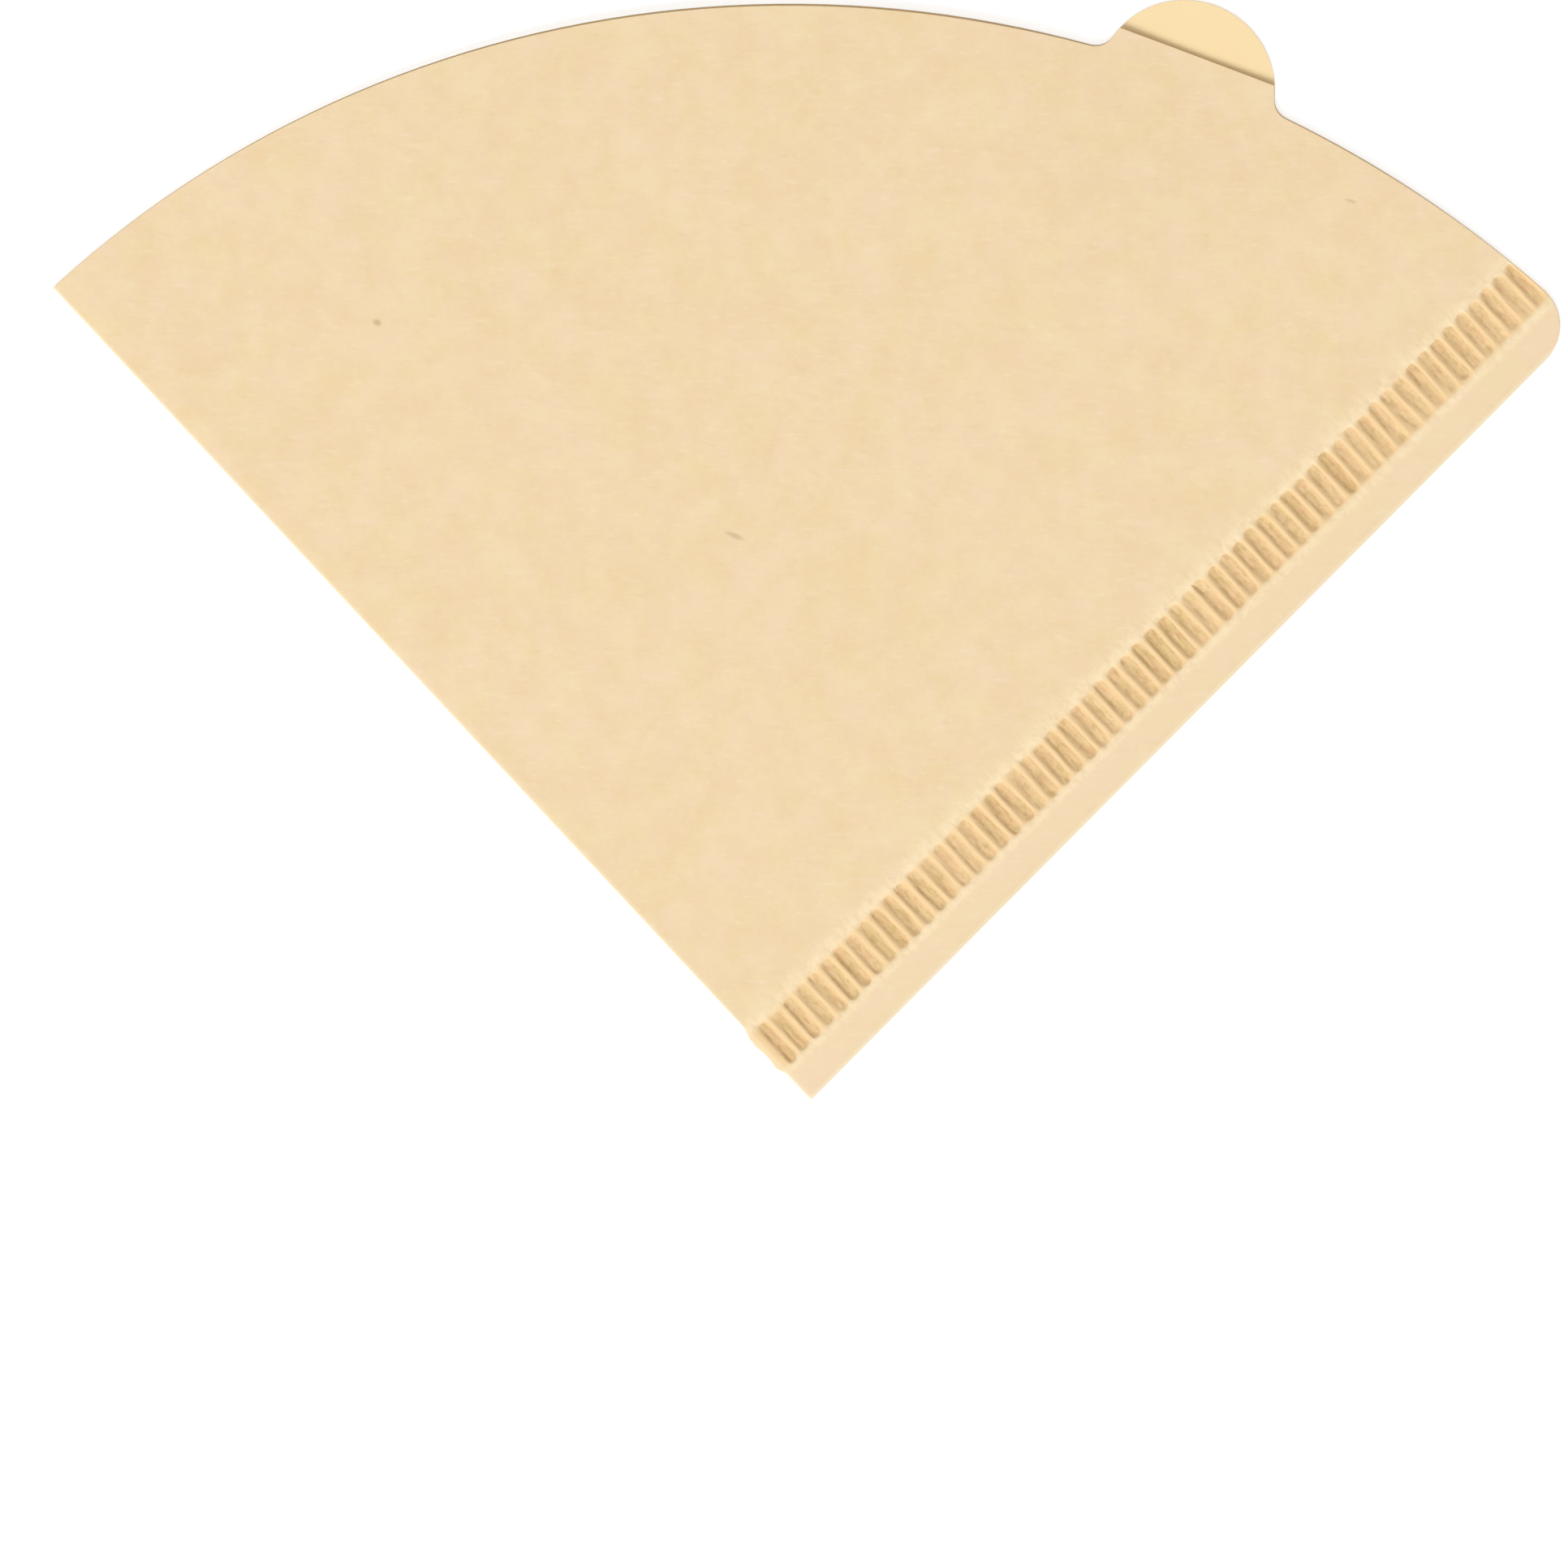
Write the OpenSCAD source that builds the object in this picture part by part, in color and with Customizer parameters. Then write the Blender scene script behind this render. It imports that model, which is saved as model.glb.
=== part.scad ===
// Paper coffee filter for a cone dripper, folded flat as it comes out of the pack.
// One sheet is folded in half along one straight side and crimped along the other.
// The two plies part in a shallow cone towards the curved mouth, which stays open.

/* [Sheet] */
// Length of the folded side, from the tip to the mouth, and radius of the mouth's arc
side_length = 118; // [90:0.5:160]
// Angle between the folded side and the crimped side
tip_angle = 86.8; // [75:0.1:100]
// Thickness of the paper, one ply
paper_t = 0.22; // [0.15:0.01:0.4]
// Radius of the rounded corner where the crimped side meets the mouth
corner_r = 5.2; // [1:0.1:8]

/* [Opening between the plies] */
// Clear height between the plies at the middle of the mouth
mouth_gap = 0.8; // [0.6:0.1:6]
// Clear width inside the fold, at the mouth
fold_gap = 0.26; // [0.1:0.02:0.6]

/* [Tab] */
// Angle from the folded side to the middle of the tab
tab_angle = 63; // [35:0.1:70]
// Radius of the tab's round end
tab_r = 9.4; // [6:0.1:12]
// How far the lower ply's tab stands out past the mouth
tab_reach = 8.1; // [4:0.1:10]
// How far the upper ply's tab stands out, up to its straight cut
stub_reach = 2.4; // [0.5:0.1:3.5]
// Radius of the inside corners at the tab's roots
tab_root_r = 2.2; // [0.5:0.1:3]

/* [Crimped seam] */
// Width of the plain strip outside the crimps
seam_margin = 4.4; // [2:0.1:8]
// Length of one crimp, across the seam
crimp_length = 5.6; // [3:0.1:8]
// Distance from one crimp to the next, along the seam
crimp_pitch = 1.915; // [1.8:0.005:3]
// Width of a crimp at the face of the paper
crimp_w = 1.2; // [0.8:0.01:1.5]
// Width of a crimp's flat floor
crimp_floor_w = 0.7; // [0.3:0.01:0.75]
// How deep the teeth press the two plies
crimp_depth = 0.3; // [0.1:0.01:0.4]
// Width of the plain strip inside the crimps, up to where the plies part
parting_strip = 0.4; // [0.2:0.05:1]
// Distance from the folded side to the middle of the first crimp, along the seam
first_crimp = 1.45; // [1:0.05:3]

/* [Hidden] */

// Steps in the curves
ARC_STEPS = 60;
SMALL_ARC_STEPS = 10;
CROWN_STEPS = 32;
FOLD_STEPS = 8;
CRIMP_FACETS = 12;

// How far a cutting or joining shape runs past the face that it meets
OVERLAP = 0.1;
// How far the rough shapes run past the outline that trims them
TRIM = 2;

// The sheet is drawn with its tip at the origin and its crimped side along X.
// fold_dir runs up the folded side, and into_sheet points from that side into the sheet.
fold_dir = [cos(tip_angle), sin(tip_angle)];
into_sheet = [sin(tip_angle), -cos(tip_angle)];
both_plies = 2 * paper_t;
seam_w = seam_margin + crimp_length + parting_strip;

// The point that lies this far inside the folded side, on the line Y = y
function beside_fold(y, inset) =
    (y - inset * into_sheet.y) / fold_dir.y * fold_dir + inset * into_sheet;

// The plies part at the apex, where the seam meets the fold, and open as they run out from it.
// The shapes that show this run on past the mouth and the tab, and the outline trims them.
apex = beside_fold(seam_w, paper_t);
middle = [cos(tip_angle / 2), sin(tip_angle / 2)];
mouth_run = sqrt(pow(apex * middle, 2) - apex * apex + pow(side_length, 2)) - apex * middle;
crown_run = side_length + tab_reach + TRIM;
far_share = crown_run / mouth_run;
far_fold_r = paper_t + far_share * fold_gap / 2;
far_fold = beside_fold(seam_w + crown_run, far_fold_r);
crown_angle = atan2(far_fold.y - apex.y, far_fold.x - apex.x);

// Tab: a round end, with a small inside round where each side of it meets the mouth
tab_centre_run = side_length + tab_reach - tab_r;
tab_dir = tip_angle - tab_angle;
root_run = side_length + tab_root_r;
root_reach = tab_r + tab_root_r;
root_spread = acos((pow(root_run, 2) + pow(tab_centre_run, 2) - pow(root_reach, 2))
                   / (2 * root_run * tab_centre_run));
root_sweep = acos((pow(root_run, 2) + pow(root_reach, 2) - pow(tab_centre_run, 2))
                  / (2 * root_run * root_reach));

// Rounded corner between the crimped side and the mouth
corner_x = sqrt(pow(side_length - corner_r, 2) - pow(corner_r, 2));
corner_dir = atan2(corner_r, corner_x);

// The crimps run parallel to the folded side, and the last one stops short of the mouth
crimp_slope = (crimp_w - crimp_floor_w) / 2 / crimp_depth;
crimp_outer_y = seam_margin + crimp_w / 2;
crimp_inner_y = seam_margin + crimp_length - crimp_w / 2;
last_crimp = sqrt(pow(side_length, 2) - pow(crimp_inner_y, 2))
             - beside_fold(crimp_inner_y, 0).x - crimp_w / 2;
crimp_count = floor((last_crimp - first_crimp) / crimp_pitch) + 1;

// The backs of the crimps stand out below the sheet, so it lies on them and on the fold's far end
rest_line = seam_margin + crimp_length - crimp_slope * crimp_depth;
rest_tilt = atan2(crimp_depth, side_length * fold_dir.y - rest_line);

// The sheet is turned until its middle line runs along Y, with its outside box centred on the origin
turn = 90 - tip_angle / 2;
left_x = -side_length * sin(tip_angle / 2);
right_x = corner_x * cos(turn) - corner_r * sin(turn) + corner_r;
top_y = max(side_length, tab_centre_run * sin(tab_dir + turn) + tab_r);

function on_circle(centre, r, angle) = centre + r * [cos(angle), sin(angle)];
function arc(centre, r, from, to, steps) =
    [for (i = [0:steps]) on_circle(centre, r, from + (to - from) * i / steps)];

// Clear height between the plies at the mouth, for a share from 0 at the seam to 1 at the fold
function gap_at(share) = fold_gap * share + mouth_gap * sin(180 * share);

// Half-round of radius r about the middle of the fold, which lies mid_r inside the folded side
function fold_round(y, mid_r, r) =
    [for (i = [0:FOLD_STEPS])
        let (a = 180 * i / FOLD_STEPS)
        [beside_fold(y, mid_r - r * sin(a)).x, y, mid_r + r * cos(a)]];

// Points at each end of the crown's straight lines, for a ply of this thickness on either side
function crown_rim(skin) =
    [for (i = [0:CROWN_STEPS], top = [0, 1])
        let (at = on_circle(apex, crown_run, crown_angle * i / CROWN_STEPS),
             rise = far_share * gap_at(i / CROWN_STEPS) + skin)
        [at.x, at.y, paper_t + (top == 1 ? rise : -skin)]];

module hull_of(points) {
    hull()
        polyhedron(points, [[for (i = [0:len(points) - 1]) i]]);
}

// Cut outline of a whole ply, run out a little past the folded side
module ply_outline() {
    tip = [0, 0];
    seam_root = tab_dir - root_spread;
    fold_root = tab_dir + root_spread;
    past_fold = tip_angle + 1;
    polygon(concat(
        [[-TRIM, 0]],
        arc([corner_x, corner_r], corner_r, -90, corner_dir, SMALL_ARC_STEPS),
        arc(tip, side_length, corner_dir, seam_root, SMALL_ARC_STEPS),
        arc(on_circle(tip, root_run, seam_root), tab_root_r,
            seam_root + 180, seam_root + 180 - root_sweep, SMALL_ARC_STEPS),
        arc(on_circle(tip, tab_centre_run, tab_dir), tab_r,
            seam_root - root_sweep, fold_root + root_sweep, 2 * SMALL_ARC_STEPS),
        arc(on_circle(tip, root_run, fold_root), tab_root_r,
            fold_root + 180 + root_sweep, fold_root + 180, SMALL_ARC_STEPS),
        arc(tip, side_length, fold_root, past_fold, ARC_STEPS)));
}

// The plies where they are pressed together, from past the seam's cut edge to where they part
module seam_strip() {
    far_x = apex.x + crown_run;
    hull_of(concat(
        fold_round(-TRIM, paper_t, paper_t),
        fold_round(seam_w, paper_t, paper_t),
        [for (y = [-TRIM, seam_w], z = [0, both_plies]) [far_x, y, z]]));
}

// The shallow cone between the plies, with this thickness of paper all round it
module crown(skin) {
    hull_of(concat(
        fold_round(seam_w, paper_t, skin),
        fold_round(seam_w + crown_run, far_fold_r, far_fold_r - paper_t + skin),
        crown_rim(skin)));
}

// Everything above the lower ply's tab, from the upper ply's straight cut outwards
module above_tab() {
    rotate(tab_dir)
        translate([side_length + stub_reach, -root_reach, paper_t + fold_gap / 4])
            cube([tab_reach + TRIM, 2 * root_reach, both_plies + 2 * mouth_gap]);
}

// Row of round-ended teeth, with their narrow floors on the height z
module crimp_teeth(z) {
    for (i = [0:crimp_count - 1])
        translate([first_crimp + i * crimp_pitch, 0, z])
            hull() {
                crimp_end(crimp_outer_y);
                crimp_end(crimp_inner_y);
            }
}

module crimp_end(y) {
    translate([beside_fold(y, 0).x, y, 0])
        cylinder(h = crimp_depth + OVERLAP, r1 = crimp_floor_w / 2,
                 r2 = crimp_w / 2 + crimp_slope * OVERLAP, $fn = CRIMP_FACETS);
}

// The sheet, lying on its lower ply with the backs of its crimps below the height 0
module flat_sheet() {
    difference() {
        intersection() {
            union() {
                seam_strip();
                crown(paper_t);
                crimp_teeth(-crimp_depth);
            }
            translate([0, 0, -crimp_depth - TRIM])
                linear_extrude(crimp_depth + both_plies + 2 * mouth_gap + 2 * TRIM)
                    ply_outline();
        }
        crown(0);
        above_tab();
        crimp_teeth(both_plies - crimp_depth);
    }
}

module folded_filter() {
    color("#F2DAB2")
        translate([-(left_x + right_x) / 2, -top_y / 2, crimp_depth])
            rotate(turn)
                translate([0, rest_line, -crimp_depth])
                    rotate([-rest_tilt, 0, 0])
                        translate([0, -rest_line, crimp_depth])
                            flat_sheet();
}

folded_filter();
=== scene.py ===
import math
import random

import bpy
import bmesh
from mathutils import Matrix, Vector, noise


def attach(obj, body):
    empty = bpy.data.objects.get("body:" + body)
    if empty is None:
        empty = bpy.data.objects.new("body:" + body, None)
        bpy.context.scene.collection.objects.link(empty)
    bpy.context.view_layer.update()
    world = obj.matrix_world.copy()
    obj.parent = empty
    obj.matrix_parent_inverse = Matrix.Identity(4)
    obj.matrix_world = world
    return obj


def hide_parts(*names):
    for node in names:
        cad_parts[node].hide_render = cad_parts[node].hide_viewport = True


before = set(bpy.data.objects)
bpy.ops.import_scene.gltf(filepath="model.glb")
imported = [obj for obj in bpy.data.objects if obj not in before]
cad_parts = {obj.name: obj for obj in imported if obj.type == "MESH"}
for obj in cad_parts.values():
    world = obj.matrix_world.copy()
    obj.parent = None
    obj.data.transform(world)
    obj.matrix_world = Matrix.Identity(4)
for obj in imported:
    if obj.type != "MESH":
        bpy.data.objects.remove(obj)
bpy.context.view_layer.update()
mm = 0.001
near = 0.01         # mm: points this close count as in one place
hair = 0.001        # mm: the same, where the mesh is fine
weld = 0.002        # mm: points this close are merged when pieces are joined


def deselectAll():
    if bpy.context.object and bpy.context.object.mode != "OBJECT":
        bpy.ops.object.mode_set(mode="OBJECT")
    bpy.ops.object.select_all(action="DESELECT")


def makeActive(thing):
    deselectAll()
    thing.select_set(True)
    bpy.context.view_layer.objects.active = thing


def pickEdges(mesh, wanted):
    # edit mesh, edge mode: only the open edges whose two ends are both wanted
    bpy.ops.mesh.select_mode(type="EDGE")
    bpy.ops.mesh.select_all(action="DESELECT")
    for edge in mesh.edges:
        edge.select_set(edge.is_boundary and all(wanted(v.co) for v in edge.verts))
    mesh.select_flush_mode()


def ruffle(x, y, level):
    # smooth unevenness between about -1 and 1
    return noise.noise(Vector((x, y, level)))


# The paper is drawn in mm, flat, with its tip at the origin and its crimped side along X,
# and is turned into place at the end.
sheet = {
    "side": 118,            # folded side, and radius of the mouth's arc
    "tipAngle": 86.8,       # degrees between the folded and the crimped side
    "ply": 0.22,            # thickness that one ply takes up in the seam
    "skin": 0.2,            # thickness drawn, so that the plies stay apart at the cut edge
    "cornerRadius": 5.2,
    "cornerSteps": 12,
    "mouthSteps": (14, 46), # on the seam's and on the fold's side of the tab
    "mouthGap": 0.8,        # how far the plies bulge apart at the middle of the mouth
    "foldGap": 0.26,        # clear width inside the fold, at the mouth
    "foldCuts": 7,          # round the fold, from one ply to the other
    "foldSpread": 0.6,      # the teeth press the fold outwards beside the first crimp
    "spreadWidth": 0.85,    # strip along the fold that takes part in it
    "spreadEase": 0.5,      # and the part of the strip over which it fades
    "tabDip": 0.7,          # share by which the plies lie closer at the tab
    "dipRadius": 22,        # and how far from the tab that reaches
    "cockle": 0.06,         # height of the slight waves in the upper ply
    "cockleSize": (24, 30),
    "cockleEase": (40, 12), # they grow over this way, from the apex and from the fold
    "smoothAngle": 42,      # degrees between two faces, past which their edge stays sharp
}
tab = {
    "angle": 63,            # degrees from the fold to the tab's middle
    "radius": 9.4,
    "reach": 8.1,           # whole tab, past the mouth
    "stubReach": 2.4,       # upper ply's stub, up to its straight cut
    "rootRadius": 2.2,
    "steps": (5, 34, 9),    # on a root, round the crown and on half the straight cut
}
seam = {
    "margin": 4.25,         # from the cut edge to the crimps
    "crimpLength": 5.75,
    # three that change along the row, from the tip to the mouth
    "skew": (-0.25, 0.17),  # the teeth run a little askew to the seam
    "lop": (0.14, 0.04),    # how far a groove's bottom lies off its middle, towards the fold
    "litWallFlush": (1.2, 1.5),    # how soon the lit wall, away from the fold, takes on the floor's tone and its painted shade
    "shadedWallFlush": 2.2,       # and the steep wall towards the fold, which faces away from the light: it takes on the painted shade soonest
    "fadeShift": 0.8,       # share of a groove's fading that moves to its outer end
    "pitch": 1.914,
    "grooveWidth": 1.74,
    "floor": 0.18,          # width of the flat left at a groove's bottom
    "firstCrimp": 1.77,     # from the fold
    "count": 61,
    "border": 0.4,          # plain strip on both sides of the crimps
    "endPower": (2.6, 3.6), # outer and inner end: 2 is a half circle, and more is squarer
    "steep": 1.5,           # 1 makes the walls an even wave, and more moves them to the shoulder
    "rings": 6,             # steps down from a groove's shoulder to its bottom
    "cuts": 8,              # across a groove, one after another along it
    "roundSteps": 4,        # steps in each quarter of its round ends
    "depth": 0.275,         # of the deepest groove
    "backDepth": 0.3,       # room under the lower ply, where the crimps' backs stand out
    "endSlope": 0.25,       # run of the wall at a groove's end
    "ridge": 0.06,          # the paper is pushed up between two crimps
    "shoulderRise": 0.8,    # share of that at a groove's shoulder
    "crease": 0.08,         # height of the small creases in a groove
    "wobble": 0.07,         # small shifts of the ridges along the seam
    "drift": 0.35,          # how far the middle of the row has run ahead of an even pitch
    "seed": 11,
}
tooth = {
    # drawn anew for each tooth, in this order. A pair is the least and the most, in mm or a share.
    "turn": 1.2,                    # degrees, a standard deviation
    "stretch": (-0.025, 0.01),      # share of the groove's length
    "slip": (-0.06, 0.06),          # along the seam
    "bite": (0.6, 0.95),            # share of the full depth
    "fade": (0.1, 0.9),             # share of it that is lost at the weaker end
    "taper": (0.1, 0.4),            # share of the width that is lost at the inner end, near the tip
    "innerReach": (-0.25, 0.12),    # of the inner end, across the seam
    "lean": (-0.1, 0.18),           # of the inner end, along the seam
    "tonePower": 1.3,               # more gives fewer olive crimps
    # unevenness within one groove
    "nibble": 0.1,                  # share of its width
    "ragged": 0.1,                  # sway of its walls
    "frayed": 0.3,                  # along the inner end
}

tipAngle = math.radians(sheet["tipAngle"])
foldDir = Vector((math.cos(tipAngle), math.sin(tipAngle), 0))
intoSheet = Vector((math.sin(tipAngle), -math.cos(tipAngle), 0))
tabDir = tipAngle - math.radians(tab["angle"])
tabRun = sheet["side"] + tab["reach"] - tab["radius"]
bandLow = seam["margin"] - seam["border"]
bandHigh = seam["margin"] + seam["crimpLength"] + seam["border"]
bandMiddle = (bandLow + bandHigh) / 2
cornerX = math.sqrt((sheet["side"] - sheet["cornerRadius"]) ** 2 - sheet["cornerRadius"] ** 2)


def besideFold(y, inset):
    # the point this far inside the fold, at this height up the sheet
    return (y - inset * intoSheet.y) / foldDir.y * foldDir + inset * intoSheet


apex = besideFold(bandHigh, sheet["ply"])      # where the plies begin to part
middleDir = Vector((math.cos(tipAngle / 2), math.sin(tipAngle / 2), 0))
apexAlong = apex.dot(middleDir)
mouthRun = math.sqrt(apexAlong ** 2 - apex.length_squared + sheet["side"] ** 2) - apexAlong


def alongFold(co):
    return (co - apex).dot(foldDir) if co.y > apex.y else 0


def foldRadius(run):
    # outside radius of the fold, this far from the apex
    return sheet["ply"] + max(run, 0) / mouthRun * sheet["foldGap"] / 2


def edgeX(y):
    # where the mouth's arc, or the rounded corner below it, crosses this height
    radius = sheet["cornerRadius"]
    if y < radius:
        return cornerX + math.sqrt(radius ** 2 - (radius - y) ** 2)
    return math.sqrt(sheet["side"] ** 2 - y ** 2)


def arc(centre, radius, start, end, steps):
    angles = [start + (end - start) * i / steps for i in range(steps + 1)]
    return [centre + radius * Vector((math.cos(a), math.sin(a), 0)) for a in angles]


def mouthLine(reach):
    # the cut line from the seam to the fold, round a tab that is cut off at this reach
    tip = Vector((0, 0, 0))
    rootRun = sheet["side"] + tab["rootRadius"]
    rootReach = tab["radius"] + tab["rootRadius"]
    spread = math.acos((rootRun ** 2 + tabRun ** 2 - rootReach ** 2) / (2 * rootRun * tabRun))
    sweep = math.acos((rootRun ** 2 + rootReach ** 2 - tabRun ** 2) / (2 * rootRun * rootReach))
    seamRoot, foldRoot = tabDir - spread, tabDir + spread
    axis = Vector((math.cos(tabDir), math.sin(tabDir), 0))
    side = Vector((-axis.y, axis.x, 0))
    seamCorner, foldCorner = [arc(tip, rootRun, root, root, 1)[0] for root in (seamRoot, foldRoot)]
    seamSteps, foldSteps = sheet["mouthSteps"]
    rootSteps, crownSteps, halfCut = tab["steps"]
    line = arc(tip, sheet["side"], math.asin(bandHigh / sheet["side"]), seamRoot, seamSteps)
    line += arc(seamCorner, tab["rootRadius"], seamRoot + math.pi, seamRoot + math.pi - sweep,
                rootSteps)[1:]
    crown = arc(axis * tabRun, tab["radius"], seamRoot - sweep, foldRoot + sweep, crownSteps)[1:-1]
    if reach < tab["reach"]:
        # only the flanks of the crown are left, with a straight cut between them
        cutRun = sheet["side"] + reach
        half = math.sqrt(tab["radius"] ** 2 - (cutRun - tabRun) ** 2)
        flanks = [p for p in crown if p.dot(axis) < cutRun - 0.05]
        cut = [axis * cutRun + side * half * (i / halfCut) for i in range(-halfCut, halfCut + 1)]
        crown = [p for p in flanks if p.dot(side) < 0] + cut + [p for p in flanks if p.dot(side) > 0]
    line += crown
    line += arc(foldCorner, tab["rootRadius"], foldRoot + math.pi + sweep, foldRoot + math.pi,
                rootSteps)
    farCorner = sheet["side"] * foldDir + foldRadius(mouthRun) * intoSheet
    farAngle = math.atan2(farCorner.y, farCorner.x)
    return line + arc(tip, sheet["side"], foldRoot, farAngle, foldSteps)[1:]


def partingAt(x, y):
    # how far the upper ply stands off the lower one
    dx, dy = x - apex.x, y - apex.y
    if dy <= 0:
        return 0
    share = min(max(math.atan2(dy, dx) / tipAngle, 0), 1)
    crown = math.sin(math.pi * share)
    return math.hypot(dx, dy) / mouthRun * (sheet["foldGap"] * share + sheet["mouthGap"] * crown)


def makeCrimpTile():
    # a plane with bevelled corners gives the groove's rounded outline, and insets press it down
    deselectAll()
    width, length = seam["grooveWidth"], seam["crimpLength"]
    bpy.ops.mesh.primitive_plane_add(size=1)
    tile = bpy.context.object
    tile.name = "crimpTile"
    tile.scale = (width, length, 1)
    bpy.ops.object.transform_apply(location=False, rotation=False, scale=True)
    bpy.ops.object.mode_set(mode="EDIT")
    mesh = bmesh.from_edit_mesh(tile.data)
    bpy.ops.mesh.select_mode(type="EDGE")
    bpy.ops.mesh.select_all(action="DESELECT")
    for edge in mesh.edges:
        edge.select_set(abs(edge.verts[0].co.x - edge.verts[1].co.x) < near)
    bmesh.update_edit_mesh(tile.data)
    bpy.ops.mesh.subdivide(number_cuts=seam["cuts"])
    bpy.ops.mesh.select_mode(type="VERT")
    bpy.ops.mesh.select_all(action="DESELECT")
    mesh = bmesh.from_edit_mesh(tile.data)
    straight = (length - width) / 2     # half of the part between its round ends
    for vert in mesh.verts:
        atEnd = abs(vert.co.y) > length / 2 - near
        vert.select_set(atEnd)
        if not atEnd:
            vert.co.y = min(max(vert.co.y, -straight), straight)
    bmesh.update_edit_mesh(tile.data)
    # a hair under half the width, so that the two corners of an end don't cross
    bpy.ops.mesh.bevel(offset=width / 2 * 0.998, segments=seam["roundSteps"], affect="VERTICES")
    bpy.ops.mesh.select_all(action="SELECT")
    bpy.ops.mesh.remove_doubles(threshold=near)
    bpy.ops.mesh.select_mode(type="FACE")
    bpy.ops.mesh.select_all(action="SELECT")
    step = (width - seam["floor"]) / 2 / seam["rings"]
    shares = [1 - 2 * step * ring / width for ring in range(seam["rings"] + 1)]
    for outer, inner in zip(shares, shares[1:]):
        # equal steps inwards and down a wave, to a depth of 1 that each tooth then scales
        waves = [math.cos(math.pi * share ** seam["steep"]) for share in (outer, inner)]
        bpy.ops.mesh.inset(thickness=step, depth=(waves[0] - waves[1]) / 2)
    # a plain rectangle round it, filled in up to the shoulder
    half = seam["pitch"] / 2
    reach = length / 2 + seam["border"]
    mesh = bmesh.from_edit_mesh(tile.data)
    ring = [e for e in mesh.edges if e.is_boundary]
    steps = [reach * (i / 3 - 1) for i in range(7)]
    outline = [Vector((half, y, 0)) for y in steps] + [Vector((-half, y, 0)) for y in reversed(steps)]
    corners = [mesh.verts.new(co) for co in outline]
    border = [mesh.edges.new((corners[i - 1], corners[i])) for i in range(len(corners))]
    bmesh.update_edit_mesh(tile.data)
    bpy.ops.mesh.select_mode(type="EDGE")
    bpy.ops.mesh.select_all(action="DESELECT")
    for edge in ring + border:
        edge.select_set(True)
    bmesh.update_edit_mesh(tile.data)
    bpy.ops.mesh.fill(use_beauty=True)
    bpy.ops.mesh.select_all(action="SELECT")
    bpy.ops.mesh.normals_make_consistent(inside=False)
    bpy.ops.object.mode_set(mode="OBJECT")
    return tile


def pressTile(tile, index, dice):
    # each tooth bites a little differently, and more weakly at one end:
    # the inner one near the tip, and the outer one near the mouth
    turned = math.radians(dice.gauss(0, tooth["turn"]))
    stretch = 1 + dice.uniform(*tooth["stretch"])
    slip = dice.uniform(*tooth["slip"])
    bite = dice.uniform(*tooth["bite"])
    fade = dice.uniform(*tooth["fade"])
    taper = dice.uniform(*tooth["taper"]) * (1 - index / seam["count"])
    innerReach = dice.uniform(*tooth["innerReach"])
    lean = dice.uniform(*tooth["lean"])
    tone = dice.random() ** tooth["tonePower"]
    half, halfBand = seam["pitch"] / 2, seam["crimpLength"] / 2 + seam["border"]
    shoulder = seam["grooveWidth"] / 2
    share = index / (seam["count"] - 1)
    shift = seam["fadeShift"] * share
    skew, lop, litWallFlush = [tip + (mouth - tip) * share
                        for tip, mouth in (seam["skew"], seam["lop"], seam["litWallFlush"])]
    mesh = tile.data
    # the pressed paper's darker tone, together with painted shade down the groove
    pressed = mesh.attributes.new("pressed", "FLOAT", "POINT")
    toneOf = mesh.attributes.new("crimpTone", "FLOAT", "POINT")
    for i, vert in enumerate(mesh.vertices):
        x, y, depth = vert.co.x, vert.co.y, -vert.co.z
        inward, outward = max(0, y / halfBand), max(0, -y / halfBand)
        weaker = 1 - fade * (1 - shift) * inward ** 2 - fade * shift * outward
        creases = seam["crease"] * ruffle(x * 2.3 + index * 5.3, y * 0.9, 2.5)
        if abs(y) > halfBand - near:
            vert.co.z = 0
        elif abs(x) > half - near:
            vert.co.z = seam["ridge"] * (1 - (abs(y) / halfBand) ** 4)
        else:
            # the round ends are drawn out squarer, apart from their very tips
            past = abs(y) - seam["crimpLength"] / 2 + shoulder
            if past > 0:
                power = seam["endPower"][y > 0]
                end = min(0.93, past / math.hypot(x, past))
                x *= (1 - end ** power) ** (1 / power) / (1 - end ** 2) ** 0.5
            # the floor sways between the two ridges
            inner = inward ** 3
            nibble = tooth["nibble"] * max(0, ruffle(index * 2.9 + (x > 0), y * 0.9, 4.4))
            ragged = tooth["ragged"] * ruffle(x * 1.7 + index * 3.1, y * 0.9, 0.5)
            frayed = tooth["frayed"] * ruffle(x * 2.6 + index * 4.7, y, 9.1)
            sway = slip - turned * y + lean * inner + ragged
            vert.co.x = x * (1 - taper * inner - nibble) + sway * min(1, 2.5 * (shoulder - abs(x)))
            vert.co.x -= lop * depth
            vert.co.y = y * stretch + skew + (innerReach + frayed) * max(0, 2 * y / halfBand - 1)
            vert.co.z = max(creases - depth * seam["depth"] * bite * weaker, -seam["depth"])
            if depth < near:
                vert.co.z = creases / 3 + seam["ridge"] * seam["shoulderRise"]
        if index == seam["count"] - 1 and vert.co.x > 0:
            # the last tile is drawn out to the mouth's cut edge
            y = bandMiddle + vert.co.y
            place = besideFold(y, 0).x + seam["firstCrimp"] + index * seam["pitch"]
            vert.co.x *= (edgeX(y) - place) / half
        # the crimps run parallel to the fold
        vert.co.x += besideFold(bandMiddle + vert.co.y, 0).x
        # painted shade: the wall towards the fold faces away from the light, so it darkens sooner than
        # the lit wall
        sooner = seam["shadedWallFlush"] if x < 0 else litWallFlush
        pressed.data[i].value = min(1, depth * sooner) * bite * weaker
        toneOf.data[i].value = tone


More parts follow.
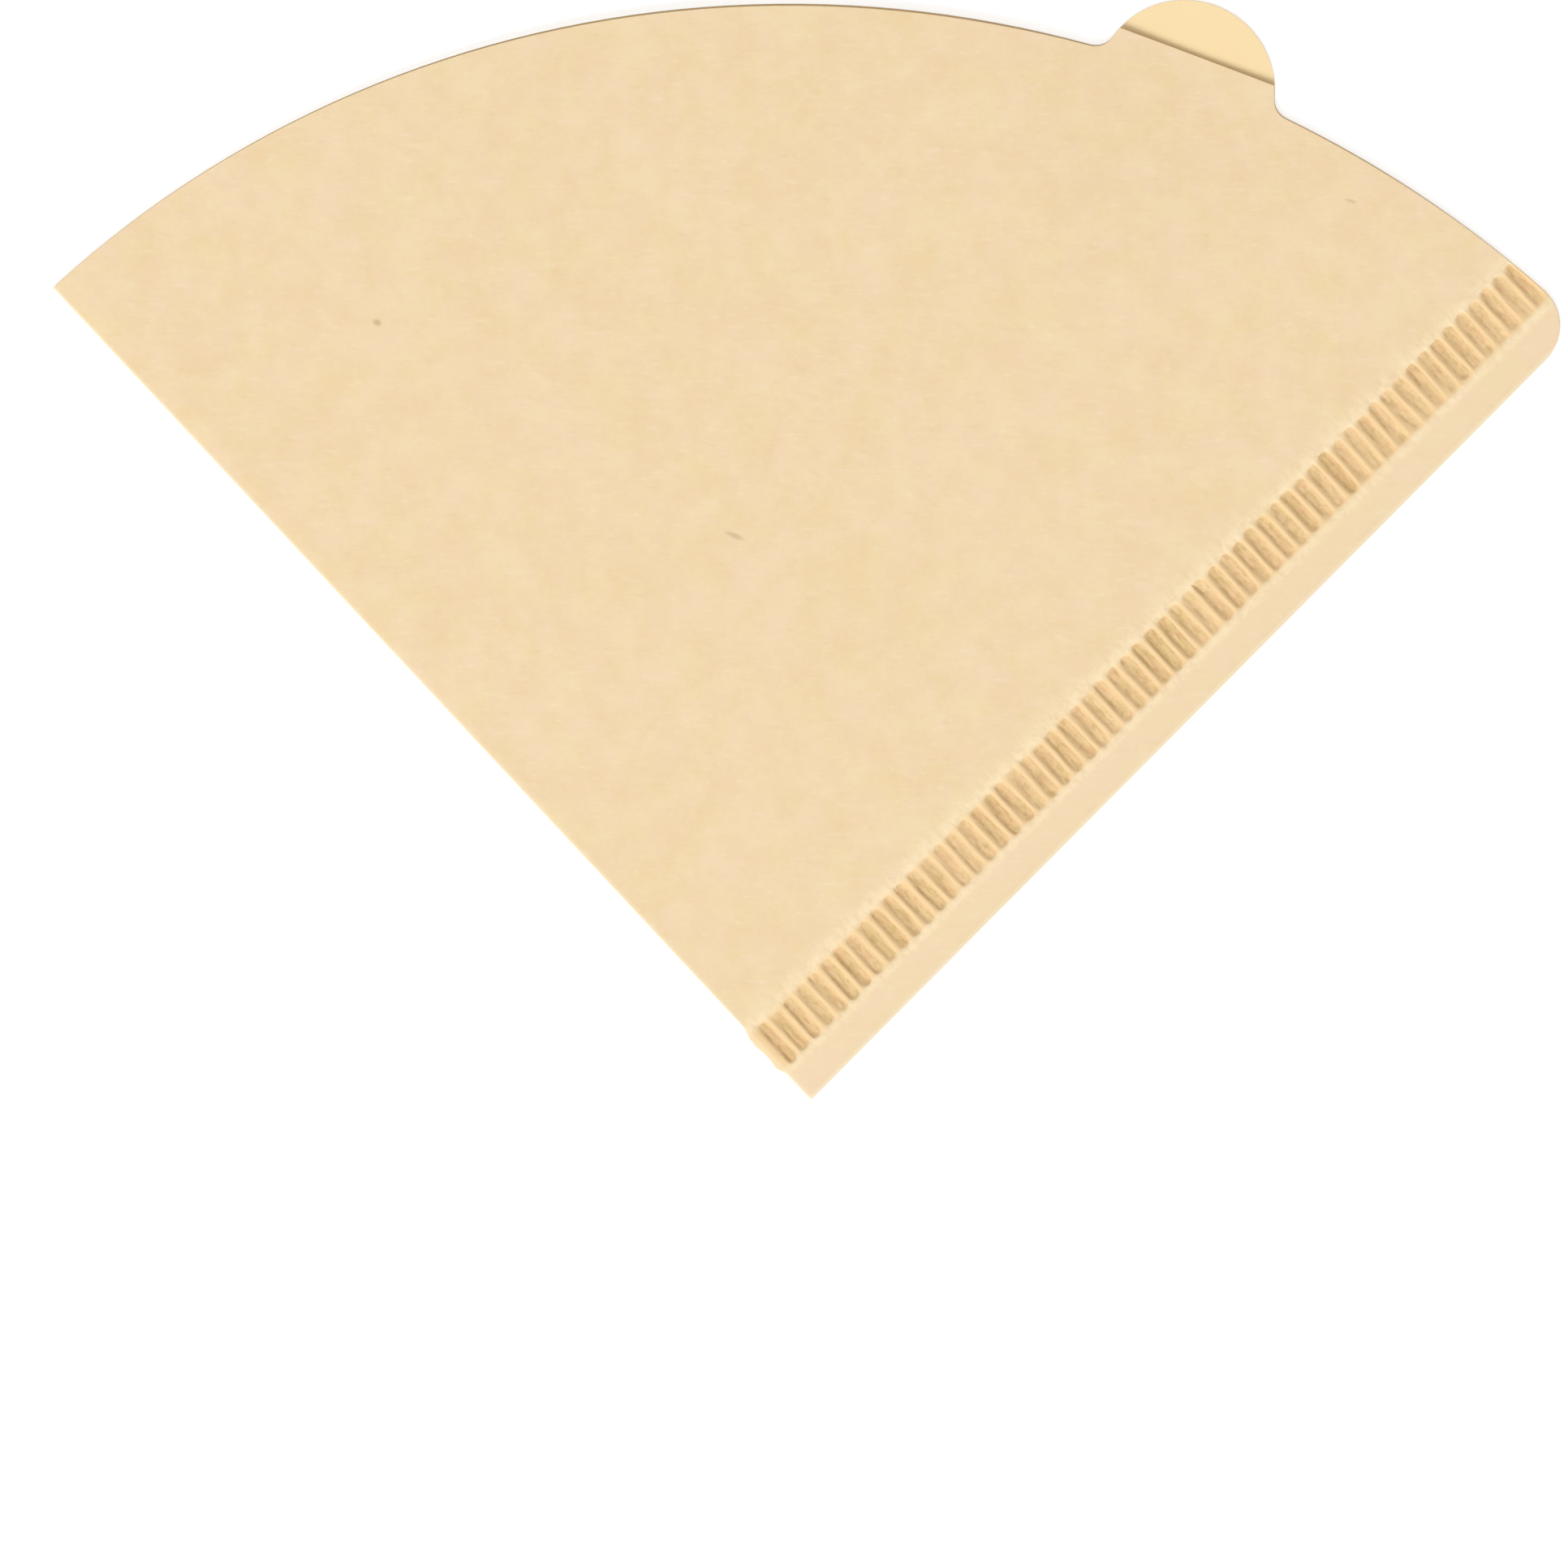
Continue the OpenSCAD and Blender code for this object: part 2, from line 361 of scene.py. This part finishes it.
def makeCrimpRow():
    tile = makeCrimpTile()
    dice = random.Random(seam["seed"])
    row = []
    for index in range(seam["count"]):
        crimp = tile.copy()
        crimp.data = tile.data.copy()
        bpy.context.scene.collection.objects.link(crimp)
        pressTile(crimp, index, dice)
        crimp.location = (seam["firstCrimp"] + index * seam["pitch"], bandMiddle, 0)
        row.append(crimp)
    bpy.data.objects.remove(tile)
    deselectAll()
    for crimp in row:
        crimp.select_set(True)
    bpy.context.view_layer.objects.active = row[0]
    bpy.ops.object.join()
    bpy.ops.object.transform_apply(location=True, rotation=False, scale=False)
    bpy.ops.object.mode_set(mode="EDIT")
    bpy.ops.mesh.select_all(action="SELECT")
    bpy.ops.mesh.remove_doubles(threshold=weld)
    # a plain strip from the first crimp to the start of the fold
    band = bpy.context.object
    start = seam["firstCrimp"] - seam["pitch"] / 2
    mesh = bmesh.from_edit_mesh(band.data)
    pickEdges(mesh, lambda co: abs(co.x - besideFold(co.y, 0).x - start) < near)
    bmesh.update_edit_mesh(band.data)
    bpy.ops.mesh.extrude_edges_move()
    mesh = bmesh.from_edit_mesh(band.data)
    for vert in mesh.verts:
        if vert.select:
            # the ridge dies down towards the fold
            vert.co.x = besideFold(vert.co.y, sheet["ply"]).x
            vert.co.z *= 0.3
    bpy.ops.object.mode_set(mode="OBJECT")
    # the pitch is a little uneven, except in the last 3 mm at both ends of the row
    for vert in band.data.vertices:
        along = min(max((vert.co.x - 3) / (sheet["side"] - 6), 0), 1)
        wobble = seam["wobble"] * ruffle(vert.co.x * 0.6, vert.co.y * 0.3, 7)
        vert.co.x += seam["drift"] * math.sin(math.pi * along) + wobble * min(1, 9 * along, 9 - 9 * along)
    return band


def makePly(name, reach):
    ply = makeCrimpRow()
    ply.name = name
    bpy.ops.object.mode_set(mode="EDIT")
    # plain margin, from the crimps down to the seam's cut edge
    mesh = bmesh.from_edit_mesh(ply.data)
    onLow = [v.co.x for v in mesh.verts if abs(v.co.y - bandLow) < near]
    straightEnd = max(x for x in onLow if x < cornerX - 0.5)
    pickEdges(mesh, lambda co: abs(co.y - bandLow) < near and co.x < straightEnd + near)
    bmesh.update_edit_mesh(ply.data)
    bpy.ops.mesh.extrude_edges_move(TRANSFORM_OT_translate={"value": (0, -bandLow, 0)})
    mesh = bmesh.from_edit_mesh(ply.data)
    for vert in mesh.verts:
        if vert.co.y < near and vert.co.x < 1:
            vert.co.x = besideFold(0, sheet["ply"]).x
    # rounded corner: a chain of points, filled back to the crimps
    radius = sheet["cornerRadius"]
    chain = [v for v in mesh.verts if v.co.y < near and abs(v.co.x - straightEnd) < near]
    lastAngle = math.asin((bandLow - radius) / radius)
    centre = Vector((cornerX, radius, 0))
    corner = arc(centre, radius, -math.pi / 2, lastAngle, sheet["cornerSteps"])[:-1]
    chain += [mesh.verts.new(co) for co in corner]
    back = [v for v in mesh.verts if abs(v.co.y - bandLow) < near and v.co.x > straightEnd - near]
    chain += sorted(back, key=lambda v: -v.co.x)
    mesh.faces.new(chain)

    # the rest: the parting line is spun about the apex, and each spoke reaches to the cut line
    line = mouthLine(reach)
    for vert in mesh.verts:
        if abs(vert.co.y - bandHigh) < near and vert.co.x < apex.x + 0.3:
            vert.co = (apex.x, apex.y, 0)
    pickEdges(mesh, lambda co: abs(co.y - bandHigh) < near)
    bmesh.update_edit_mesh(ply.data)
    spun = len(line) - 1
    fullTurn = math.atan2(line[-1].y - apex.y, line[-1].x - apex.x)
    farRun = edgeX(bandHigh) - apex.x
    bpy.ops.mesh.spin(steps=spun, angle=-fullTurn, center=apex, axis=(0, 0, 1))
    mesh = bmesh.from_edit_mesh(ply.data)
    for vert in mesh.verts:
        dx, dy = vert.co.x - apex.x, vert.co.y - apex.y
        if dy > hair:
            spoke = round(math.atan2(dy, dx) / fullTurn * spun)
            share = math.hypot(dx, dy) / farRun
            target = apex + (line[spoke] - apex) * share
            vert.co = (target.x, target.y, 0)
    bmesh.update_edit_mesh(ply.data)
    bpy.ops.mesh.select_all(action="SELECT")
    bpy.ops.mesh.remove_doubles(threshold=weld)
    bpy.ops.mesh.normals_make_consistent(inside=False)
    bpy.ops.object.mode_set(mode="OBJECT")
    return ply


def shapeUpperPly(ply):
    # lifted off the lower ply, with a slight cockle in its free part
    tabRoot = sheet["side"] * Vector((math.cos(tabDir), math.sin(tabDir), 0))
    waveX, waveY = sheet["cockleSize"]
    apexEase, foldEase = sheet["cockleEase"]
    for vert in ply.data.vertices:
        x, y, z = vert.co
        run = math.hypot(x - apex.x, y - apex.y) if y > apex.y else 0
        fromFold = min(max((vert.co.dot(intoSheet) - 1) / foldEase, 0), 1)
        wave = ruffle(x / waveX, y / waveY, 3.1) * min(run / apexEase, 1) * fromFold
        toTab = (vert.co - tabRoot).length / sheet["dipRadius"]
        closer = sheet["tabDip"] * max(0, 1 - toTab ** 2) ** 2
        vert.co.z = 2 * sheet["ply"] + z + partingAt(x, y) * (1 - closer) + sheet["cockle"] * wave


def foldPlies(upper, lower):
    # the two plies are one sheet, so the folded side is bridged and rounded
    makeActive(lower)
    bpy.ops.object.mode_set(mode="EDIT")
    bpy.ops.mesh.select_all(action="SELECT")
    bpy.ops.mesh.flip_normals()
    bpy.ops.object.mode_set(mode="OBJECT")
    shapeUpperPly(upper)
    makeActive(upper)
    lower.select_set(True)
    bpy.ops.object.join()
    bpy.ops.object.mode_set(mode="EDIT")
    mesh = bmesh.from_edit_mesh(upper.data)
    pickEdges(mesh, lambda co: abs(co.dot(intoSheet) - foldRadius(alongFold(co))) < near / 2)
    bmesh.update_edit_mesh(upper.data)
    before = len(mesh.verts)
    bpy.ops.mesh.bridge_edge_loops(type="SINGLE", number_cuts=sheet["foldCuts"], interpolation="LINEAR")
    mesh = bmesh.from_edit_mesh(upper.data)
    mesh.verts.ensure_lookup_table()
    for vert in mesh.verts[before:]:
        radius = foldRadius(alongFold(vert.co))
        angle = math.pi * vert.co.z / (2 * radius)
        vert.co += intoSheet * -radius * math.sin(angle)
        vert.co.z = radius - radius * math.cos(angle)
    bmesh.update_edit_mesh(upper.data)
    bpy.ops.mesh.select_all(action="SELECT")
    bpy.ops.mesh.normals_make_consistent(inside=False)
    bpy.ops.object.mode_set(mode="OBJECT")
    return upper


def thicken(shell):
    # the paper's own thickness, taken inwards from the outside faces
    bpy.ops.object.mode_set(mode="EDIT")
    mesh = bmesh.from_edit_mesh(shell.data)
    mesh.verts.layers.float.new("inside")
    bmesh.update_edit_mesh(shell.data)
    bpy.ops.mesh.select_all(action="SELECT")
    bpy.ops.mesh.extrude_region_move()
    mesh = bmesh.from_edit_mesh(shell.data)
    inside = mesh.verts.layers.float["inside"]
    skin = sheet["skin"]
    for vert in mesh.verts:
        if not vert.select:
            continue
        vert[inside] = 1
        radius = foldRadius(alongFold(vert.co))
        inset = vert.co.dot(intoSheet)
        if inset < radius * 0.97:
            # on the fold's round, towards the middle of it
            middle = vert.co + intoSheet * (radius - inset)
            middle.z = radius
            vert.co = middle + (vert.co - middle) * (radius - skin) / radius
        else:
            upper = vert.co.z > sheet["ply"] / 2
            vert.co.z += -skin if upper else skin
    bmesh.update_edit_mesh(shell.data)
    bpy.ops.mesh.select_all(action="SELECT")
    bpy.ops.mesh.normals_make_consistent(inside=False)
    bpy.ops.object.mode_set(mode="OBJECT")


def spreadFold(piece):
    # beside the crimps the fold is squeezed flatter, so it stands out in a low uneven lobe
    for vert in piece.data.vertices:
        inset, y = vert.co.dot(intoSheet), vert.co.y
        along = (y - bandLow) / (bandHigh - bandLow)
        if inset > sheet["spreadWidth"] or not 0 < along < 1:
            continue
        lobe = (1 - (2 * along - 1) ** 4) ** 0.5
        uneven = 0.75 + 0.6 * ruffle(0.3, y * 0.8, 1.7)
        ease = min(1, (sheet["spreadWidth"] - inset) / sheet["spreadEase"])
        vert.co -= intoSheet * sheet["foldSpread"] * lobe * uneven * ease


# it lies on the backs of its crimps and on the fold's far end, so it leans by a hair
backDepth = seam["backDepth"]
restLine = seam["margin"] + seam["crimpLength"] - seam["endSlope"]
restTilt = math.atan2(backDepth, sheet["side"] * foldDir.y - restLine)
turn = math.pi / 2 - tipAngle / 2
leftX = -sheet["side"] * math.sin(tipAngle / 2)
rightX = cornerX * math.cos(turn) - sheet["cornerRadius"] * math.sin(turn) + sheet["cornerRadius"]
tabTop = tabRun * math.sin(tabDir + turn) + tab["radius"]
middleShift = Vector((-(leftX + rightX) / 2, -max(sheet["side"], tabTop) / 2, 0))


def layOnFloor(piece):
    place = (Matrix.Scale(mm, 4)
             @ Matrix.Translation(middleShift + Vector((0, 0, backDepth)))
             @ Matrix.Rotation(turn, 4, "Z")
             @ Matrix.Translation((0, restLine, -backDepth))
             @ Matrix.Rotation(-restTilt, 4, "X")
             @ Matrix.Translation((0, -restLine, backDepth)))
    piece.data.transform(place)


upperPly = makePly("upperPly", tab["stubReach"])
lowerPly = makePly("lowerPly", tab["reach"])
print("both plies: ", len(upperPly.data.polygons) + len(lowerPly.data.polygons), "faces")
paperFilter = foldPlies(upperPly, lowerPly)
thicken(paperFilter)
spreadFold(paperFilter)
layOnFloor(paperFilter)
makeActive(paperFilter)
paperFilter.name = paperFilter.data.name = "paperFilter"
bpy.ops.object.shade_smooth_by_angle(angle=math.radians(sheet["smoothAngle"]))
print("folded filter:", len(paperFilter.data.loop_triangles), "triangles")


def toLinear(colour):
    # "#rrggbb" as it shows on a screen, to the linear values that Blender takes
    parts = [int(colour[i:i + 2], 16) / 255 for i in (1, 3, 5)]
    return tuple(c / 12.92 if c <= 0.04045 else ((c + 0.055) / 1.055) ** 2.4 for c in parts) + (1,)


def addNode(tree, kind, inputs=None, **settings):
    node = tree.nodes.new(kind)
    for name, value in settings.items():
        setattr(node, name, value)
    for name, value in (inputs or {}).items():
        if isinstance(value, bpy.types.Node):
            value = value.outputs["Result"] if "Result" in value.outputs else value.outputs[0]
        if isinstance(value, bpy.types.NodeSocket):
            tree.links.new(value, node.inputs[name])
        else:
            node.inputs[name].default_value = value
    return node


paper = {
    "face": "#F4DDB6",
    "roughness": 0.92,
    "specular": 0.25,
    # size in mm along and across the machine's run, detail and roughness of each pattern. Real
    # fibres and grain are too thin to show, so both are drawn wider.
    "patterns": {
        "cloud": (4.0, 4.0, 5, 0.75),
        "tint": (4.7, 4.7, 5, 0.75),
        "fibre": (1.8, 0.5, 2, 0.6),
        "grain": (0.4, 0.4, 2, 0.6),
        "blob": (1.3, 1.3, 3, 0.7),
    },
    # pattern, where its layer starts and is full, strength and colour
    "layers": (
        ("cloud", 0.24, 0.76, 1.0, "#EFD3A5"),      # the pulp lies thicker
        ("tint", 0.6, 0.35, 0.35, "#F4D8BA"),       # pinkish
        ("tint", 0.5, 0.75, 0.35, "#F3DEA9"),       # yellowish
        ("fibre", 0.55, 0.8, 0.3, "#FAEBCF"),
        ("fibre", 0.42, 0.2, 0.17, "#DDBB8A"),
    ),
    # along the seam: start, full, still full and end in mm from its cut edge, strength, colour
    # and the pattern that breaks it up
    "bands": (
        (-1.0, -0.5, 0.1, 0.65, 0.6, "#FBEBCB", None),          # cut edge, lighter: partly fluffed fibres, partly a painted highlight where the edge catches the light
        (0.2, 1.2, 3.4, 4.6, 0.45, "#F8DFBF", "cloud"),         # plain margin, a little pinker
        (2.9, 3.9, 10.1, 12.4, 0.6, "#FCE4BA", "streak"),       # painted highlight on the paper pushed up round the crimps
        (3.3, 3.8, 10.2, 11.2, 0.75, "#FDE7BF", "blob"),        # and painted highlights in blots on the rims lifted at their ends
        (4.1, 4.7, 9.0, 10.0, 0.9, "#F3D09C", None),            # stretched between them
    ),
    "patternEdge": (0.4, 0.6),      # and how soft the breaks are
    # pressed paper is denser and darker, and its tone goes from tan to olive. The same darkening is also
    # painted shade: deepest down a groove, and soonest on its wall towards the fold
    "tan": "#EDCB99",
    "olive": "#E0BE88",
    "toneReach": (0.8, 1.0),        # strength on a tan and on an olive crimp
    "pressedReach": (0.03, 0.75),   # where it starts and is full, on the way down a groove
    # patterns that run along the crimps, as above
    "runs": {
        "crease": (2.0, 0.35, 2, 0.6),
        "streak": (1.7, 0.7, 2, 0.6),
        "mottle": (0.9, 0.45, 2, 0.6),
    },
    "blots": (
        ("blob", 0.5, 0.62, 0.5, "#E6B688"),
        ("blob", 0.5, 0.38, 0.45, "#D6B97C"),
        ("mottle", 0.5, 0.36, 0.35, "#B48F57"),
        ("crease", 0.5, 0.38, 0.2, "#B8925A"),
        ("crease", 0.54, 0.66, 0.25, "#FBDEAC"),
    ),
    "inside": (0.85, "#FFE4B0"),    # strength and colour between the plies: painted light, lighter than the face, standing in for light let through the paper into the gap and onto the open tab
    # start and full in mm from the fold's outside, strength and colour of the painted highlight along its
    # rounded edge
    "foldEdgeHighlight": (0.6, 0.1, 0.4, "#FBEBCB"),
    "relief": {"fibre": 0.6, "grain": 0.5, "crease": 0.6},
    "reliefDepth": 0.03,
    "reliefStrength": 0.6,
    "speckColour": "#AE9468",
    "speckEdge": (1.3, 0.2),        # start and full, in half lengths from a speck's middle
    "speckDepth": 20,               # deep enough to go through the paper
    # x and y in mm along and across the seam, angle, length, width, strength
    "specks": (
        (28.4, 90.7, -70, 1.1, 0.8, 0.5),
        (38.6, 47.9, -68, 2.4, 0.7, 0.38),
        (110.5, 26.4, -60, 1.5, 0.5, 0.3),
    ),
}


def layOver(tree, colour, tint, value, reach, strength):
    # the reach says at which value the tint starts and at which it has its full strength
    start, full = reach
    share = addNode(tree, "ShaderNodeMapRange", {"Value": value, "From Min": start, "From Max": full,
                    "To Max": strength}, interpolation_type="SMOOTHSTEP")
    return addNode(tree, "ShaderNodeMix", {0: share, 6: colour, 7: toLinear(tint)},
                   data_type="RGBA").outputs[2]


def makeFilterPaper():
    # unbleached filter paper, wet-laid and lightly creped: matt, warm tan, cloudy, with loose fibres
    material = bpy.data.materials.new("unbleachedFilterPaper")
    material.use_nodes = True
    tree = material.node_tree
    shader = tree.nodes["Principled BSDF"]
    shader.inputs["Roughness"].default_value = paper["roughness"]
    shader.inputs["Specular IOR Level"].default_value = paper["specular"]
    coords = addNode(tree, "ShaderNodeTexCoord").outputs["Object"]
    # mm along and across the seam, on the flat sheet
    flat = addNode(tree, "ShaderNodeMapping", {"Vector": coords, "Location": middleShift * mm,
                   "Rotation": (0, 0, turn), "Scale": (mm, mm, mm)}, vector_type="TEXTURE")
    across = addNode(tree, "ShaderNodeSeparateXYZ", {"Vector": flat}).outputs["Y"]
    fromFold = addNode(tree, "ShaderNodeVectorMath", {0: flat, 1: intoSheet},
                       operation="DOT_PRODUCT").outputs["Value"]

    # the fibres lie along the filter's own X, and the creases along the crimps
    shapes = {name: (0, *shape) for name, shape in paper["patterns"].items()}
    shapes.update((name, (turn + tipAngle, *shape)) for name, shape in paper["runs"].items())
    patterns = {}
    for name, (angle, length, width, detail, roughness) in shapes.items():
        stretched = addNode(tree, "ShaderNodeMapping", {"Vector": coords, "Rotation": (0, 0, angle),
                            "Scale": (length * mm, width * mm, width * mm)}, vector_type="TEXTURE")
        patterns[name] = addNode(tree, "ShaderNodeTexNoise", {"Vector": stretched, "Scale": 1,
                                 "Detail": detail, "Roughness": roughness}).outputs[0]

    colour = toLinear(paper["face"])
    for name, start, full, strength, tint in paper["layers"]:
        colour = layOver(tree, colour, tint, patterns[name], (start, full), strength)
    for x, y, angle, length, width, strength in paper["specks"]:
        around = addNode(tree, "ShaderNodeMapping", {"Vector": flat, "Location": (x, y, 0),
                         "Rotation": (0, 0, math.radians(angle)),
                         "Scale": (length / 2, width / 2, paper["speckDepth"])},
                         vector_type="TEXTURE")
        away = addNode(tree, "ShaderNodeVectorMath", {0: around}, operation="LENGTH").outputs["Value"]
        colour = layOver(tree, colour, paper["speckColour"], away, paper["speckEdge"], strength)
    for start, full, last, end, strength, tint, pattern in paper["bands"]:
        rise = addNode(tree, "ShaderNodeMapRange", {"Value": across, "From Min": start, "From Max": full,
                       "To Max": strength}, interpolation_type="SMOOTHSTEP")
        band = addNode(tree, "ShaderNodeMapRange", {"Value": across, "From Min": end, "From Max": last,
                       "To Max": rise}, interpolation_type="SMOOTHSTEP")
        if pattern:
            colour = layOver(tree, colour, tint, patterns[pattern], paper["patternEdge"], band)
        else:
            colour = addNode(tree, "ShaderNodeMix", {0: band, 6: colour, 7: toLinear(tint)},
                             data_type="RGBA").outputs[2]

    pressed, tone, inside = [addNode(tree, "ShaderNodeAttribute", attribute_name=name).outputs["Fac"]
                             for name in ("pressed", "crimpTone", "inside")]
    groove = addNode(tree, "ShaderNodeMix", {0: tone, 6: toLinear(paper["tan"]),
                     7: toLinear(paper["olive"])}, data_type="RGBA").outputs[2]
    for name, start, full, strength, tint in paper["blots"]:
        groove = layOver(tree, groove, tint, patterns[name], (start, full), strength)
    onTan, onOlive = paper["toneReach"]
    strength = addNode(tree, "ShaderNodeMapRange", {"Value": tone, "To Min": onTan, "To Max": onOlive})
    # the groove's darker pressed tone, with its painted shade
    start, full = paper["pressedReach"]
    share = addNode(tree, "ShaderNodeMapRange", {"Value": pressed, "From Min": start, "From Max": full,
                    "To Max": strength}, interpolation_type="SMOOTHSTEP")
    colour = addNode(tree, "ShaderNodeMix", {0: share, 6: colour, 7: groove}, data_type="RGBA").outputs[2]
    # painted light on the faces between the plies
    strength, tint = paper["inside"]
    share = addNode(tree, "ShaderNodeMapRange", {"Value": inside, "To Max": strength})
    colour = addNode(tree, "ShaderNodeMix", {0: share, 6: colour, 7: toLinear(tint)},
                     data_type="RGBA").outputs[2]
    # painted highlight along the fold's rounded edge
    start, full, strength, tint = paper["foldEdgeHighlight"]
    colour = layOver(tree, colour, tint, fromFold, (start, full), strength)
    tree.links.new(colour, shader.inputs["Base Color"])

    # the creases stand out only in the last band, among the crimps
    patterns["crease"] = addNode(tree, "ShaderNodeMath", {0: patterns["crease"], 1: band},
                                 operation="MULTIPLY").outputs[0]
    height = 0
    for name, share in paper["relief"].items():
        height = addNode(tree, "ShaderNodeMath", {0: patterns[name], 1: share, 2: height},
                         operation="MULTIPLY_ADD").outputs[0]
    bump = addNode(tree, "ShaderNodeBump", {"Height": height, "Strength": paper["reliefStrength"],
                   "Distance": paper["reliefDepth"] * mm})
    tree.links.new(bump.outputs[0], shader.inputs["Normal"])
    return material


paperFilter.data.materials.clear()
paperFilter.data.materials.append(makeFilterPaper())

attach(paperFilter, "root")
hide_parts("folded_filter")
print("material done")


studio = {
    "keyPower": 142.0,      # watts, from a round lamp
    "keyDistance": 4.5,     # metres from the filter
    "keyElevation": 42,     # degrees
    "keyAzimuth": -108,
    "keySize": 3.0,         # metres across
    "fill": 0.57,           # strength of the white room
    "floorSize": 6.0,
    "floorColour": "#E2E2E2",
    "floorRoughness": 0.9,
    "floorLift": 0.6,       # what the camera sees beyond the lit floor, so that it comes out white
}
photoView = {
    # fitted to the photograph: nearly face-on, leaning towards the mouth, from far off
    "lens": 541.811,
    "sensor": 36,
    "place": (264.54, 486.10, 2432.55),         # mm
    "facing": (0.1066, 0.20461, 0.97302),
    "roll": 0.00373,
}


def seenDirectly(tree):
    # 1 for what the camera sees, also in gloss and through glass
    rays = addNode(tree, "ShaderNodeLightPath").outputs
    seen = rays["Is Camera Ray"]
    for name in ("Is Glossy Ray", "Is Transmission Ray"):
        seen = addNode(tree, "ShaderNodeMath", {0: seen, 1: rays[name]}, operation="MAXIMUM").outputs[0]
    return seen


def makeFloor():
    deselectAll()
    bpy.ops.mesh.primitive_plane_add(size=studio["floorSize"])
    floor = bpy.context.object
    floor.name = "studioFloor"
    material = bpy.data.materials.new("whitePaperSweep")
    material.use_nodes = True
    tree = material.node_tree
    shader = tree.nodes["Principled BSDF"]
    shader.inputs["Base Color"].default_value = toLinear(studio["floorColour"])
    shader.inputs["Roughness"].default_value = studio["floorRoughness"]
    shader.inputs["Emission Color"].default_value = (1, 1, 1, 1)
    lift = addNode(tree, "ShaderNodeMath", {0: seenDirectly(tree), 1: studio["floorLift"]},
                   operation="MULTIPLY")
    tree.links.new(lift.outputs[0], shader.inputs["Emission Strength"])
    floor.data.materials.append(material)


def makeLights():
    elevation, azimuth = math.radians(studio["keyElevation"]), math.radians(studio["keyAzimuth"])
    toKey = Vector((math.cos(elevation) * math.cos(azimuth), math.cos(elevation) * math.sin(azimuth),
                    math.sin(elevation)))
    deselectAll()
    bpy.ops.object.light_add(type="AREA", location=toKey * studio["keyDistance"])
    key = bpy.context.object
    key.name = "keyLight"
    key.data.energy = studio["keyPower"]
    key.data.shape = "DISK"
    key.data.size = studio["keySize"]
    key.rotation_euler = toKey.to_track_quat("Z", "Y").to_euler()
    world = bpy.data.worlds.new("whiteRoom")
    bpy.context.scene.world = world
    world.use_nodes = True
    tree = world.node_tree
    level = addNode(tree, "ShaderNodeMapRange", {"Value": seenDirectly(tree), "To Min": studio["fill"]})
    background = tree.nodes["Background"]
    background.inputs["Color"].default_value = (1, 1, 1, 1)
    tree.links.new(level.outputs[0], background.inputs["Strength"])


def makeCamera():
    facing = Vector(photoView["facing"]).normalized()
    right = Vector((0, 1, 0)).cross(facing).normalized()
    up = facing.cross(right)
    cosRoll, sinRoll = math.cos(photoView["roll"]), math.sin(photoView["roll"])
    axes = Matrix((cosRoll * right + sinRoll * up, cosRoll * up - sinRoll * right, facing)).transposed()
    deselectAll()
    bpy.ops.object.camera_add()
    camera = bpy.context.object
    camera.name = "photoCamera"
    camera.data.sensor_width = photoView["sensor"]
    camera.data.lens = photoView["lens"]
    camera.matrix_world = Matrix.Translation(Vector(photoView["place"]) * mm) @ axes.to_4x4()
    bpy.context.scene.camera = camera


makeFloor()
makeLights()
makeCamera()
bpy.context.scene.view_settings.view_transform = "Standard"
print("studio done")
